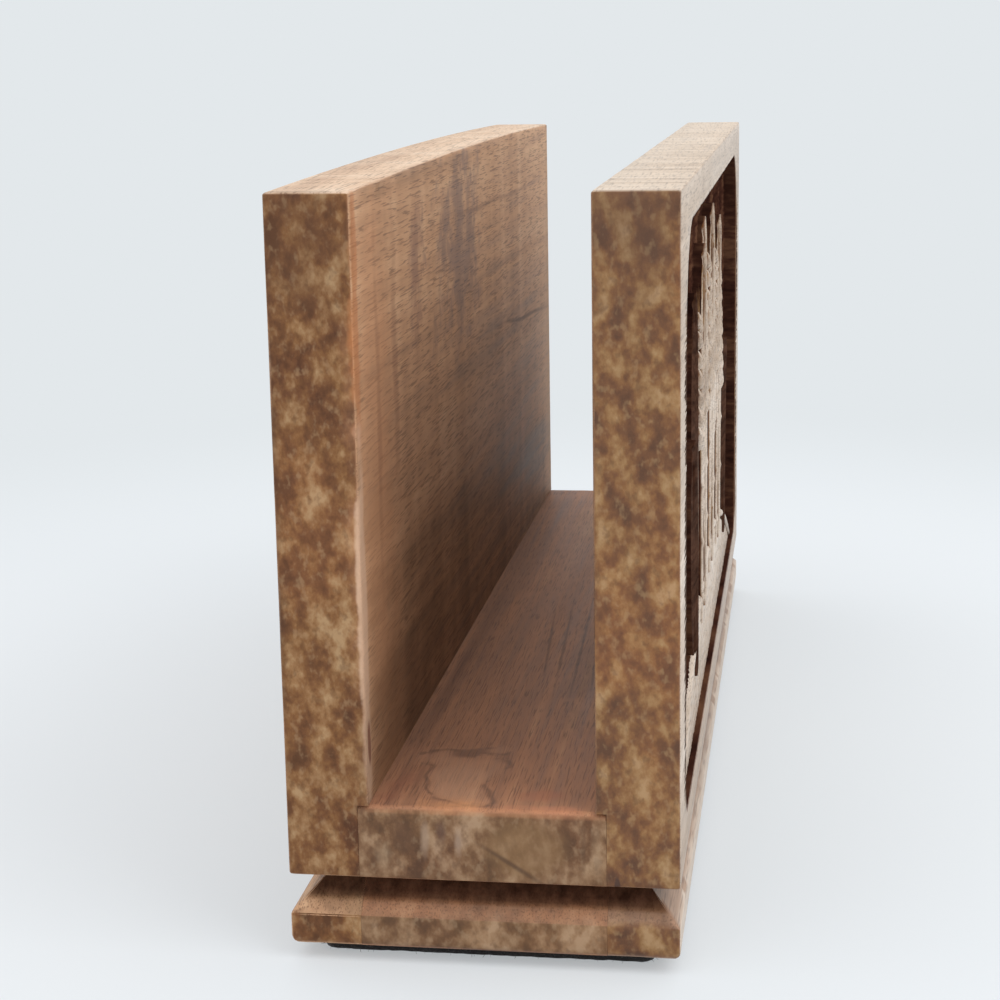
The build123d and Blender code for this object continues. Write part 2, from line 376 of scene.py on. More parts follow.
backLook = {
    "shift": (0.31, 0.12, 0.05), "roughness": 0.6, "specular": 0.28,
    "curlShare": 0.2, "poreShare": 0.5, "sawShare": 0.15,
    "face": [(0.36, "#80644B"), (0.45, "#A78263"), (0.54, "#C29875"), (0.64, "#D6B08C")],
    # Top edge tones painted pale, as painted light from above with its sheen
    "litTopEdgeTone": [(0.36, "#AB896E"), (0.50, "#CCAF94"), (0.64, "#E0CCB6")],
    "endDrift": ["#6A402A", "#7C5232", "#925E3C"],
    "endMottle": ["#462811", "#664021", "#7E562F", "#97724A", "#B2926A"],
    "endLight": "#A98964", "endDark": "#4E2D14", "edge": "#9A6B4A", "arrisWearSheenShare": 0.15,
    "marks": [
        ((-88, 15, 60), (20, 3, 70), "#CB946C", 0.5, 1.2, 0.1),
        ((-99, 15, 88), (2.4, 1.2, 24), "#B5703F", 0.55, 1.4, 0.5),
        # Pale strip along the near arris of the inner face: pale sapwood, with a painted highlight
        # where the eased arris catches the light
        ((-99.2, 15, 44), (2.8, 0.9, 34), "#D3B094", 0.7, 1.4, 0.5),
        ((-98.6, 15.2, 30), (1.2, 1, 4), "#6A2A17", 0.7, 0.8, 0.5),
        ((-86, 15, 70), (2, 2, 34), "#7A4F38", 0.3, 1.8, 0.1),
        ((-74, 15, 78), (3, 2, 30), "#6E4A3A", 0.3, 1.8, 0.1),
        ((-56, 15, 88), (8, 2, 13), "#5E444A", 0.4, 3.0, 0.1),
        ((-18, 15, 88), (28, 2, 20), "#5A555C", 0.5, 3.0, 0.1),
        ((20, 15, 92), (80, 2, 0.7), "#4C3630", 0.3, 0.9, 0.1, (0, 1, 0)),
        ((60, 15, 66), (52, 2, 0.7), "#33231E", 0.6, 0.8, 0.1, (0, 4.2, 0)),
        ((98, 15, 60), (12, 3, 62), "#B48F70", 0.5, 1.2, 0.1),
        # Painted shade along the back corner of the near end, where the wood rounds away from the
        # light
        ((-100, 27, 60), (3, 2.2, 70), "#452A1D", 0.7, 1.2, 0.2),
        # Painted shade on the lower inner face, down in the slot
        ((-72, 15, 30), (66, 2, 15), "#45301F", 0.4, 1.2, 0.1),
        ((-53, 15, 44), (26, 2, 0.3), "#A88264", 0.4, 0.2, 0.5, (0, -2.7, 0)),
        ((-100, 21, 97), (3, 9, 16), "#5A3B25", 0.42, 1.6, 0.1)]}
floorRing = {"hex": "#533A2F", "at": 2.0, "width": 0.14}
floorFigure = [
    ((-87, 6, 22), (13, 8, 2), "#B28A6E", 0.5, 2.6, 0.1, (0, 0, 0), floorRing),
    ((-92, 12.5, 22), (10, 3, 2), "#85533F", 0.5, 1.6, 0.1, (0, 0, -12)),
    ((-98.4, 4, 22), (3.4, 5.5, 2), "#CC9062", 0.65, 2.4, 0.1),
    ((-99.4, -7.5, 22), (1.8, 9, 2), "#C88460", 0.5, 2.4, 0.1),
    ((-95, -8, 22), (3, 5, 2), "#A8684C", 0.45, 2.4, 0.1),
    ((-30, -9, 22), (52, 7, 2), "#5C463C", 0.4, 1.6, 0.1)]
floorFigure += [((-22, y, 22), (reach, 0.4, 2), "#3A2922", 0.5, 0.9, 0.1, (0, 0, turn))
                for y, turn, reach in ((-2, 3, 44), (-5, 2.2, 50), (-7.5, 3.4, 38), (0.5, 4.2, 30),
                                       (-10, 2, 46))]
coreEnd = [((-100, y, z), (2, across, up), *rest) for y, z, across, up, *rest in (
    (-6, 17, 7.6, 5.4, "#806140", 0.6, 0.7, 0.5),
    (-3.8, 14.6, 7.6, 0.55, "#4A3323", 0.7, 0.4, 0.1, (31, 0, 0)),
    (10.6, 17.6, 2.3, 3.2, "#5E412D", 0.55, 1.2, 0.3),
    (13.2, 15, 1.8, 2.6, "#A38C70", 0.45, 1.6, 0.2),
    (7.5, 17.4, 0.9, 3.8, "#A78F79", 0.55, 0.8, 0.3),
    (5.3, 18.4, 1.1, 2.8, "#543A30", 0.7, 0.8, 0.3),
    (3.1, 17.2, 0.9, 3.2, "#A78F7B", 0.55, 0.8, 0.3),
    (-13.4, 17.2, 0.6, 4.8, "#59412D", 0.5, 1.0, 0.2),
    (-15.2, 16.6, 1.3, 5.2, "#A78D70", 0.45, 1.2, 0.2))]
coreLook = {
    "shift": (0.71, 0.33, 0.09), "roughness": 0.5, "specular": 0.3,
    "curlShare": 0.08, "poreShare": 0.45,
    "face": [(0.36, "#6C4B39"), (0.46, "#8F664D"), (0.55, "#A87757"), (0.66, "#BE926F")],
    "endDrift": ["#6E4A30", "#80603E", "#946E48"],
    "endMottle": ["#452B1B", "#64442C", "#7D5C41", "#957659", "#AB8D70"],
    # The core's edge tone is rubbed wood with a painted highlight of the eased edge catching the
    # light
    "endLight": "#A28668", "endDark": "#523623", "edge": "#B47A54", "arrisWearSheenShare": 0.3,
    "marks": floorFigure + coreEnd}
frontLook = {
    "shift": (0.13, 0.57, 0.21), "roughness": 0.42, "specular": 0.45,
    "curlShare": 0.1, "poreShare": 0.4, "sawShare": 0.55,
    "face": [(0.36, "#654838"), (0.46, "#84634B"), (0.55, "#98745A"), (0.66, "#B08C70")],
    # The show tones are painted sheen: pale, greyed colours in place of the tent's reflection on
    # the carved side
    "show": [(0.34, "#9C8775"), (0.46, "#BBA793"), (0.56, "#CFBEAD"), (0.68, "#DFD4C8")],
    # Top edge tones painted pale, as painted light from above with its sheen
    "litTopEdgeTone": [(0.36, "#A28B74"), (0.50, "#C7B29B"), (0.64, "#DAC9B6")],
    "endDrift": ["#633E26", "#7E5332", "#985F36"],
    "endMottle": ["#472811", "#673F1E", "#7E5429", "#957042", "#AE8C62"],
    "endLight": "#A6865C", "endDark": "#4E2C13", "edge": "#8E6648", "arrisWearSheenShare": 0.12,
    "teeth": {"hex": "#33201A", "share": 0.9, "length": 7.0, "pitch": 0.24, "groupPitch": 3.5,
              "burnt": (2.02, 2.28), "recessEnd": 88.0, "overlap": 0.7, "foot": (18, 22),
              "head": (90, 80)},
    "marks": [((-100, -17.8, 12.4), (2, 0.5, 1.6), "#38211A", 0.8, 0.5, 0.5),
              ((-100, -20.5, 97), (2, 9, 16), "#5A3B25", 0.42, 1.6, 0.1)]}


def makeScorched():
    # Walls and ground of the carving: wood scorched by the cutter, matt, with lines of its passes
    material, add = newMaterial("scorchedSheesham")
    coordinates = add("TexCoord").outputs["Object"]
    passes = add("Mapping", {"Vector": coordinates, "Scale": (0.08, 0.25, 1)})
    lines = add("TexNoise", {"Vector": passes, "Scale": perMm(0.65 * 2), "Detail": 3,
                "Roughness": 0.6})
    patches = add("TexNoise", {"Vector": coordinates, "Scale": perMm(12), "Detail": 3})
    tone = add("Mix", {"Factor": 0.45, "A": lines, "B": patches})
    burnt = add("ValToRGB", [tone], [(0.36, "#241310"), (0.5, "#3F261D"), (0.64, "#5E4130")])
    finishMaterial(add, lines, 0.7, 0.2, {"Base Color": burnt, "Roughness": 0.95, "IOR": 1.35,
                   "Specular IOR Level": 0.0})
    return material


# The holder's outline as the boards and the core share it: (height, inset) rows up one outer side

outline = {"halfLength": 100.0, "halfWidth": 26.0, "woodZ": 2.0, "rimZ": 6.5, "ceilingZ": 12.0,
           "floorZ": 22.0, "topZ": 102.0, "grooveDepth": 5.5, "arris": 0.32, "foot": 1.2,
           "rimStep": 1.0, "grooveStep": 0.9, "rowStep": 1.3, "glueLine": 0.02, "square": 0.02,
           "shadeFrom": 1.3, "shadeOver": 1.1, "shade": 0.92}


def arcRows(centreZ, centreInset, radius, fromAngle, toAngle, count):
    # angle 0 points outwards, 90 points up
    rows = []
    for k in range(count + 1):
        angle = math.radians(fromAngle + (toAngle - fromAngle) * k / count)
        rows.append((centreZ + radius * math.sin(angle), centreInset - radius * math.cos(angle),
                     0 < k < count))
    return rows


def between(start, end, count):
    return [tuple(a + (b - a) * k / count for a, b in zip(start, end)) for k in range(1, count)]


def straightRows(start, end, step):
    count = max(1, round(math.hypot(end[0] - start[0], end[1] - start[1]) / step))
    return [(z, inset, False) for z, inset in between(start[:2], end[:2], count)]


def outerRows():
    o = outline
    rows = arcRows(o["woodZ"] + o["foot"], o["foot"], o["foot"], -90, 0, 5)
    slant = o["arris"] * math.tan(math.radians(22.5))
    rimArc = arcRows(o["rimZ"] - slant, o["arris"], o["arris"], 0, 45, 3)
    root = (o["ceilingZ"], o["grooveDepth"], False)
    lip = arcRows(o["ceilingZ"] + o["arris"], o["arris"], o["arris"], -90, 0, 4)
    top = arcRows(o["topZ"] - o["arris"], o["arris"], o["arris"], 0, 90, 4)
    rows += straightRows(rows[-1], rimArc[0], o["rimStep"]) + rimArc
    rows += straightRows(rimArc[-1], root, o["grooveStep"]) + [root] + lip
    rows += straightRows(lip[-1], top[0], o["rowStep"]) + top
    return rows


def roundedLoop(halfLength, low, high, lowRadius, highRadius, arcCount, sideCount):
    # Anticlockwise (x, y, outX, outY, onArc) points, each corner's arc before the side after it
    corners = ((halfLength, low, lowRadius, -90), (halfLength, high, highRadius, 0),
               (-halfLength, high, highRadius, 90), (-halfLength, low, lowRadius, 180))
    arcs = []
    for x, y, radius, start in corners:
        cx, cy = x - math.copysign(radius, x), y + (radius if y == low else -radius)
        count = arcCount(radius)
        angles = [math.radians(start + 90 * k / count) for k in range(count + 1)]
        arcs.append([(cx + radius * math.cos(a), cy + radius * math.sin(a), math.cos(a),
                      math.sin(a), 0 < k < count) for k, a in enumerate(angles)])
    loop = []
    for index, arc in enumerate(arcs):
        a, b = arc[-1], arcs[(index + 1) % 4][0]
        count = sideCount(index, math.hypot(b[0] - a[0], b[1] - a[1]))
        loop += arc + [(x, y, a[2], a[3], False) for x, y in between(a[:2], b[:2], count)]
    return loop


def sliceLoop(halfLength, lowY, highY, lowRadius, highRadius, counts):
    # One level's outline as (x, y, onArc) points, starting at the low-Y side's left corner
    longCount, endCount, arcCount = counts
    loop = roundedLoop(halfLength, lowY, highY, lowRadius, highRadius, lambda radius: arcCount,
                       lambda index, length: longCount if index % 2 else endCount)
    return [(x, y, onArc) for x, y, _, _, onArc in loop[1 - longCount:] + loop[:1 - longCount]]


def stackPiece(levels, counts, skip=None, lift=None):
    # Walls between the levels' outlines, and caps; skip(level, place) leaves a wall face out
    points = [(x, y, z + (lift(x, z) if lift else 0)) for z, loop, _ in levels for x, y, _ in loop]
    arris = [1.0 if worn or onArc else 0.0 for _, loop, worn in levels for _, _, onArc in loop]
    faces = []
    ring = len(levels[0][1])
    for level in range(len(levels) - 1):
        for i in range(ring):
            if not (skip and skip(level, i)):
                j = (i + 1) % ring
                a, b = level * ring, (level + 1) * ring
                faces.append((a + i, a + j, b + j, b + i))
    longCount, endCount, arcCount = counts
    farStart = longCount + arcCount + endCount - 1 + arcCount  # last point of the second arc
    nearEnd = ring - 1  # last point of the fourth arc, where the low-Y side starts
    for base, up in ((0, False), ((len(levels) - 1) * ring, True)):
        low = [nearEnd] + list(range(longCount))
        high = [farStart + k for k in range(longCount + 1)][::-1]
        cap = [(low[k], low[k + 1], high[k + 1], high[k]) for k in range(longCount)]
        for first, last in ((longCount - 1, farStart), (farStart + longCount, nearEnd)):
            middle = (first + last) // 2
            cap += [(first, k, k + 1) for k in range(first + 1, middle)] + [(first, middle, last)]
            cap += [(last, k, k + 1) for k in range(middle, last - 1)]
        faces += [tuple(base + k for k in (face if up else face[::-1])) for face in cap]
    return points, faces, arris


def wearArrises(points, faces, arris, depth, size, seed):
    # Hand-eased edges are never quite even: rows on an arris sink by up to depth
    mesh = bpy.data.meshes.new("wear")
    mesh.from_pydata(points, [], faces)
    normals = np.zeros(len(points) * 3, np.float32)
    mesh.vertex_normals.foreach_get("vector", normals)
    bpy.data.meshes.remove(mesh)
    worn = []
    for p, n, share in zip(points, normals.reshape(-1, 3), arris):
        if share:
            at = Vector(p) / size + Vector((seed, 0, 0))
            sink = depth * share * max(0.0, 0.35 + noise.noise(at) + 0.5 * noise.noise(at * 4))
            p = tuple(c - sink * float(m) for c, m in zip(p, n))
        worn.append(p)
    return worn


def grooveShade(points):
    # 1 at the root of the groove, 0 at its mouth: painted shade under the overhang of the body
    o = outline
    shade = []
    for x, y, z in points:
        inset = min(o["halfLength"] - abs(x), o["halfWidth"] - abs(y))
        share = min(1.0, max(0.0, (inset - o["shadeFrom"]) / o["shadeOver"]))
        share *= o["rimZ"] < z < o["ceilingZ"] + 0.1
        shade.append(o["shade"] * share * share * (3 - 2 * share))
    return shade


backBoard = {"thickness": 11.0, "rabbet": 1.42, "crown": 0.8, "crownFrom": 60.0, "wear": 0.07,
             "wearSize": 8.0, "counts": (150, 8, 4)}  # steps along, across and round a corner


def boardLevels(side, size):
    # side is 1 for the back board and -1 for the front one; rows up to the floor meet the core
    o = outline
    ledge = o["floorZ"] + o["glueLine"]
    faceY = o["halfWidth"] - size["thickness"]
    levels = []

    def addLevel(z, inset, worn, innerY, innerRadius=o["square"]):
        uneven = 1 + 0.4 * ripple(z, 9.0, 3 + side)
        outerRadius = max(o["square"], o["arris"] * uneven - 0.06 * inset)
        rim = [(innerY, innerRadius), (o["halfWidth"] - inset, outerRadius)][::side]
        (low, lowRadius), (high, highRadius) = [(y * side, radius) for y, radius in rim]
        levels.append((z, sliceLoop(o["halfLength"] - inset, low, high, lowRadius, highRadius,
                                    size["counts"]), worn))

    buried = faceY + size["rabbet"]
    rows = outerRows()
    for z, inset, worn in [row for row in rows if row[0] <= ledge]:
        addLevel(z, inset, worn, buried)
    addLevel(ledge, 0, False, buried)
    addLevel(ledge, 0, False, faceY)
    for z, inset, worn in [row for row in rows if row[0] > ledge]:
        innerRadius = o["arris"] * (1.2 + 0.5 * ripple(z, 8.0, 9 + side))
        addLevel(z, inset, worn, faceY + (inset if z > o["topZ"] - 1 else 0), innerRadius)
    return levels


def makeBackBoard(material):
    size, o = backBoard, outline

    def lift(x, z):
        share = max(0.0, (z - size["crownFrom"]) / (o["topZ"] - size["crownFrom"]))
        return size["crown"] * (1 - (x / o["halfLength"]) ** 2) * share

    points, faces, arris = stackPiece(boardLevels(1, size), size["counts"], lift=lift)
    points = wearArrises(points, faces, arris, size["wear"], size["wearSize"], 2)
    board = makePiece("plainBackBoard", points, faces, [material],
                      {"arris": arris, "cut": grooveShade(points)})
    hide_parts("back_board")


coreBlock = {"halfWidth": 16.4, "endRadius": 1.0, "wear": 0.14, "wearSize": 5.0,
             "counts": (150, 24, 2)}


def makeCore(material):
    size, o = coreBlock, outline
    shoulder, square = o["floorZ"] - size["endRadius"], o["square"]
    rows = [row for row in outerRows() if row[0] < shoulder - 0.3]
    rows += arcRows(shoulder, size["endRadius"], size["endRadius"], 0, 90, 5)
    levels = [(z, sliceLoop(o["halfLength"] - inset, -size["halfWidth"], size["halfWidth"], square,
                            square, size["counts"]), worn) for z, inset, worn in rows]
    points, faces, arris = stackPiece(levels, size["counts"])
    arris = [a if z > o["floorZ"] - 2 else 0.0 for a, (x, y, z) in zip(arris, points)]
    points = wearArrises(points, faces, arris, size["wear"], size["wearSize"], 5)
    core = makePiece("solidCore", points, faces, [material],
                     {"arris": arris, "cut": grooveShade(points)})
    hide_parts("core_block")


# Front board, with the recess that the carving stands in

frontBoard = {"thickness": 11.0, "rabbet": 1.42, "wear": 0.07, "wearSize": 8.0,
              "counts": (150, 8, 4)}

recess = {"halfLength": 88.0, "lowZ": 16.8, "highZ": 96.4, "topRadius": 14.0, "bottomRadius": 5.0,
          "pitch": 0.3, "flutePitch": 0.65, "fluteDepth": 0.09, "chipDepth": 0.28,
          "chipLength": 2.0, "chipReach": 0.7}


def makeFrontBoard(material, scorched):
    size, o, r = frontBoard, outline, recess
    levels = boardLevels(-1, size)
    heights = [z for z, _, _ in levels]
    lowLevel = min(k for k, z in enumerate(heights) if z >= o["ceilingZ"] + o["arris"] - 1e-6)
    highLevel = max(k for k, z in enumerate(heights) if z <= o["topZ"] - o["arris"] + 1e-6)
    ring = len(levels[0][1])
    sideEnd = size["counts"][0] - 1  # first point of the first corner's arc

    def skip(level, i):
        return lowLevel <= level < highLevel and (i < sideEnd or i == ring - 1)

    points, faces, arris = stackPiece(levels, size["counts"], skip=skip)
    points = wearArrises(points, faces, arris, size["wear"], size["wearSize"], 7)
    low, high = lowLevel * ring, highLevel * ring
    border = [low + ring - 1] + [low + i for i in range(sideEnd + 1)]
    border += [k * ring + sideEnd for k in range(lowLevel + 1, highLevel + 1)]
    border += [high + i for i in range(sideEnd)][::-1] + [high + ring - 1]
    border += [k * ring + ring - 1 for k in range(lowLevel + 1, highLevel)][::-1]
    faceY = -o["halfWidth"]
    for i in border:
        points[i] = (points[i][0], faceY, points[i][2])

    # Rings from the face over the chipped arris and down the fluted wall
    loop = roundedLoop(r["halfLength"], r["lowZ"], r["highZ"], r["bottomRadius"], r["topRadius"],
                       lambda radius: max(4, round(math.radians(90) * radius / r["pitch"])),
                       lambda index, length: max(2, round(length / r["pitch"])))
    around = len(loop)
    starts = []
    for depth, ease in [(0.0, 0.32), (0.05, 0.12), (0.2, 0.0)] + [(0.2 + 0.35 * k, 0.0)
                                                                  for k in range(1, 9)]:
        starts.append(len(points))
        for k, (x, z, outX, outZ, _) in enumerate(loop):
            s = k * r["pitch"]
            chip = max(0.0, ripple(s, r["chipLength"], 2) + 0.5 * ripple(s, 0.5, 4))
            out = (ease + r["fluteDepth"] * ripple(s, r["flutePitch"] / 2, 1)
                   + chip * r["chipDepth"] * max(0.0, 1 - depth / r["chipReach"]) - 0.04 * depth)
            points.append((x + outX * out, faceY + depth, z + outZ * out))
            arris.append(0.0)
    wallFrom = len(faces) + 2 * around
    for a, b in zip(starts, starts[1:]):
        faces += [(a + k, b + k, b + (k + 1) % around, a + (k + 1) % around) for k in range(around)]
    faces.append(tuple(starts[-1] + k for k in range(around)))
    wallTo = len(faces)

    # The face; its border's sides are drawn slightly hollow, so each of their points gets triangles
    middleZ = (o["topZ"] + o["ceilingZ"]) / 2
    reach = max(abs(points[i][0]) for i in border)
    hollow = []
    for x, _, z in (points[i] for i in border):
        across, up = x / reach, (z - middleZ) / (o["topZ"] - middleZ)
        hollow.append(Vector((x * (1 - 0.0002 * (1 - up * up)),
                              z - 0.05 * up * (1 - across * across), 0)))
    inner = [starts[0] + k for k in range(around)]
    ids = border + inner
    opening = [Vector((points[i][0], points[i][2], 0)) for i in inner]
    for corners in tessellate_polygon([hollow, opening]):
        a, b, c = (ids[i] for i in corners)
        (ax, _, az), (bx, _, bz), (cx, _, cz) = points[a], points[b], points[c]
        turn = (bx - ax) * (cz - az) - (bz - az) * (cx - ax)
        if abs(turn) > 1e-9:
            faces.append((a, b, c) if turn > 0 else (a, c, b))
    board = makePiece("carvedFrontBoard", points, faces, [material, scorched],
                      {"arris": arris, "cut": grooveShade(points)},
                      scorched=[int(wallFrom <= k < wallTo) for k in range(len(faces))])
    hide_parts("front_board")


# Carving, laid out as the solids are: a fan of leaves and grain ears over a mound

fan = {"leafPairs": 4, "halfWidth": 6.2, "stoutness": 0.2, "bow": 0.013, "root": 5.0,
       "rootPitch": 12.0, "tipPitch": 13.5, "middleTipZ": 93.0, "outerTipZ": 62.8, "nearDrop": 0.5,
       "farDrop": 1.2, "embed": 3.15, "mesh": 0.42, "meshAcross": 0.34, "veinDepth": 0.5,
       "endDarkFrom": 31.0, "endDarkOver": 6.0, "endDarkMost": 0.97}
mound = {"crest": 19.0, "endGap": 4.0, "drop": 0.8, "pitch": 0.27, "pitSpacing": 1.45,
         "pitRadius": 0.62, "pitDepth": 0.75, "seed": 4}
ears = {"pairs": 3, "length": 24.0, "drop": 0.3, "belowTips": 7.0,
        "stalkWidth": 1.6, "stalkDrop": 0.7, "stalkStep": 0.5, "rows": 7, "kernelLength": 5.4,
        "kernelWidth": 2.3, "beard": 7.0, "tilt": 24.0, "spread": 1.3, "taper": 0.35, "seed": 6}


def moundEdge(x):
    half = recess["halfLength"] - mound["endGap"]
    radius = (half ** 2 + mound["crest"] ** 2) / (2 * mound["crest"])
    return recess["lowZ"] + mound["crest"] - radius + math.sqrt(max(0.0, radius ** 2 - x ** 2))


def fanLine(place, below=0.0):
    # Root, tip, length and direction of the line that stands at this place in the fan
    rootX = fan["rootPitch"] * place
    arch = math.sqrt(1 - (place / fan["leafPairs"]) ** 2)
    tipZ = fan["outerTipZ"] + (fan["middleTipZ"] - fan["outerTipZ"]) * arch
    root = Vector((rootX, moundEdge(rootX) - fan["root"]))
    tip = Vector((fan["tipPitch"] * place, tipZ - below))
    return root, tip, (tip - root).length, (tip - root).normalized()


def arcHeight(a, run, bulge):
    radius = (bulge ** 2 + (run / 2) ** 2) / (2 * bulge)
    return math.sqrt(max(0.0, radius ** 2 - (a - run / 2) ** 2)) - (radius - bulge)


def grid(rowCount, columnCount, pointAt):
    return [[pointAt(r, c) for c in range(columnCount + 1)] for r in range(rowCount + 1)]


def closedRelief(rows, embed):
    # rows of (x, depth, z, cut) across a raised shape; gives a closed mesh with scorched walls down
    # to embed, and 1 for each scorched face
    faceY = -outline["halfWidth"]
    points = [(x, faceY + depth, z) for row in rows for x, depth, z, _ in row]
    cut = [groove for row in rows for _, _, _, groove in row]
    tall, wide = len(rows), len(rows[0])
    faces = [(i, i + 1, i + wide + 1, i + wide)
             for r in range(tall - 1) for i in range(r * wide, r * wide + wide - 1)]
    topCount = len(faces)
    edge = list(range(wide)) + [r * wide + wide - 1 for r in range(1, tall)]
    edge += [(tall - 1) * wide + c for c in range(wide - 1)][::-1]
    edge += [r * wide for r in range(1, tall - 1)][::-1]
    previous = edge
    for share in (0.04, 0.3, 0.65, 1.0):
        now = [len(points) + k for k in range(len(edge))]
        for x, y, z in [points[i] for i in edge]:
            points.append((x, y + (faceY + embed - y) * share, z))
            cut.append(1.0)
        for k in range(len(edge)):
            j = (k + 1) % len(edge)
            faces.append((previous[k], now[k], now[j], previous[j]))
        previous = now
    faces.append(tuple(previous))
    return points, faces, cut, [0] * topCount + [1] * (len(faces) - topCount)


def makeCarved(name, shapes, materials, endDarkMost=0.0):
    # Raised shapes as one piece, darkened more and more away from the middle of the board, up to
    # the most that is given
    points, faces, cut, dark = [], [], [], []
    for rows in shapes:
        morePoints, moreFaces, moreCut, moreDark = closedRelief(rows, fan["embed"])
        faces += [tuple(i + len(points) for i in face) for face in moreFaces]
        points += morePoints
        cut += moreCut
        dark += moreDark
    darkening = [min(endDarkMost, max(0.0, (abs(x) - fan["endDarkFrom"]) / fan["endDarkOver"]))
            for x, _, _ in points]
    attributes = {"cut": [max(pair) for pair in zip(cut, darkening)], "relief": [1.0] * len(points)}
    makePiece(name, points, faces, materials, attributes, 50, dark)


def leafRows(place):
    # Blade with a raised midrib; near leaves have long veins that meet at both ends, far ones have
    # side veins
    near = place % 2 == 0
    root, _, run, along = fanLine(place)
    left = Vector((-along.y, along.x))
    half = min(fan["halfWidth"], fan["stoutness"] * run)
    bow = fan["bow"] * place * run
    rowCount, columnCount = round(run / fan["mesh"]), 2 * round(half / fan["meshAcross"])

    def pointAt(r, c):
        a = run * (0.006 + 0.988 * r / rowCount)
        leftEdge = arcHeight(a, run, half + bow) + 0.10 * ripple(a, 0.5, 20 + place)
        rightEdge = -arcHeight(a, run, half - bow) - 0.10 * ripple(a, 0.5, 40 + place)
        reach = (leftEdge - rightEdge) / 2
        t = -1 + 2 * c / columnCount
        b = (leftEdge + rightEdge) / 2 - t * reach
        side = abs(t)
        off = side * reach  # mm from the midrib
        rib = bell(off, 0.42) * min(1.0, reach / 1.2)
        groove = bell(off - 0.85, 0.24) * min(1.0, reach / 1.6)
        if near:
            strand = abs(((side * 5 + 0.5) % 1) - 0.5) / 5 * reach  # mm from the nearest long vein
            vein = bell(strand, 0.20) * min(1.0, reach / 3.2) * (0.15 < side < 0.93)
        else:
            q = ((a - 0.9 * off) / 2.9) % 1
            vein = bell(min(q, 1 - q) * 2.9, 0.27) * min(1.0, reach / 2.5)
            vein *= min(1.0, max(0.0, (off - 0.9) / 0.8)) * (side < 0.94)
        carve = max(groove, vein) * (1 - rib)
        depth = (fan["nearDrop" if near else "farDrop"] + 0.16 + 0.30 * side ** 2 - 0.16 * rib
                 + 0.30 * max(0.0, side - 0.86) / 0.14 * min(1.0, reach / 2)
                 + fan["veinDepth"] * carve + 0.03 * noise.noise(Vector((a * 1.1, b * 4.0, place))))
        p = root + along * a + left * b
        # The fourth value is painted shade: darker in the veins and the grooves beside the midrib,
        # and along the blade's rim
        return p.x, max(0.3, depth), p.y, 0.85 * carve + (0.45 if side > 0.97 else 0.0)

    return grid(rowCount, columnCount, pointAt)


def makeLeaves(materials):
    every = range(-fan["leafPairs"], fan["leafPairs"] + 1)
    for name, odd in (("farLeaves", 1), ("nearLeaves", 0)):
        makeCarved(name, [leafRows(p) for p in every if p % 2 == odd], materials, fan["endDarkMost"])


# Geometry Nodes trees with named inputs, turned into plain meshes before they ride on anything

def newTree(name, values):
    tree = bpy.data.node_groups.new(name, "GeometryNodeTree")
    for way in ("INPUT", "OUTPUT"):
        tree.interface.new_socket(name="Geometry", in_out=way, socket_type="NodeSocketGeometry")
    for label, value in values.items():
        kind = "NodeSocketInt" if isinstance(value, int) else "NodeSocketFloat"
        tree.interface.new_socket(name=label, in_out="INPUT", socket_type=kind)
    add = partial(addNode, tree)
    return tree, add, add("NodeGroupInput").outputs


def runTree(base, tree, add, geometry, material, values):
    # Ends the tree, and puts its result on the same object as a plain mesh
    real = add("GeometryNodeRealizeInstances", {"Geometry": geometry})
    done = add("GeometryNodeSetMaterial", {"Geometry": real, "Material": material})
    add("NodeGroupOutput", {"Geometry": done})
    modifier = base.modifiers.new(tree.name, "NODES")
    modifier.node_group = tree
    for item in tree.interface.items_tree:
        if item.name in values:
            modifier[item.identifier] = values[item.name]
    graph = bpy.context.evaluated_depsgraph_get()
    mesh = bpy.data.meshes.new_from_object(base.evaluated_get(graph), depsgraph=graph)
    base.modifiers.clear()
    old, base.data = base.data, mesh
    mesh.name = base.name
    bpy.data.meshes.remove(old)


def scatter(add, given, marker, density):
    # Points at least Spacing apart where the marker attribute is 1, and the marker itself
    marked = add("GeometryNodeInputNamedAttribute", {"Name": marker}, data_type="FLOAT")
    chosen = add("FunctionNodeCompare", {"A": marked, "B": 0.5}, data_type="FLOAT",
                 operation="GREATER_THAN")
    spots = add("GeometryNodeDistributePointsOnFaces", {
        "Mesh": given["Geometry"], "Selection": chosen, "Distance Min": given["Spacing"],
        "Density Max": density, "Seed": given["Seed"]}, distribute_method="POISSON")
    return spots, marked


# Mound: a low hill with a plain rim, its face punched all over

def moundRows():
    half, lowZ = recess["halfLength"] - mound["endGap"], recess["lowZ"]
    columnCount = round(2 * half / mound["pitch"])
    rowCount = round(mound["crest"] / mound["pitch"])

    def pointAt(r, c):
        x = -half * 0.995 + 1.99 * half * c / columnCount
        top = moundEdge(x) + 0.12 * ripple(x, 0.4, 30)
        z = lowZ - 0.1 + (top - lowZ + 0.1) * r / rowCount
        fromEdge = moundEdge(x) - z
        depth = (mound["drop"] + 0.25 - 0.22 * bell(fromEdge - 0.9, 0.55)
                 + 0.35 * bell(fromEdge - 1.9, 0.3) + 0.5 * max(0.0, 1 - fromEdge / 0.35)
                 + 0.05 * noise.noise(Vector((x / 3, z / 3, 1))))
        # The fourth value is painted shade in the groove inside the mound's rim
        return x, depth, z, 0.7 * bell(fromEdge - 1.9, 0.35)

    return grid(rowCount, columnCount, pointAt)


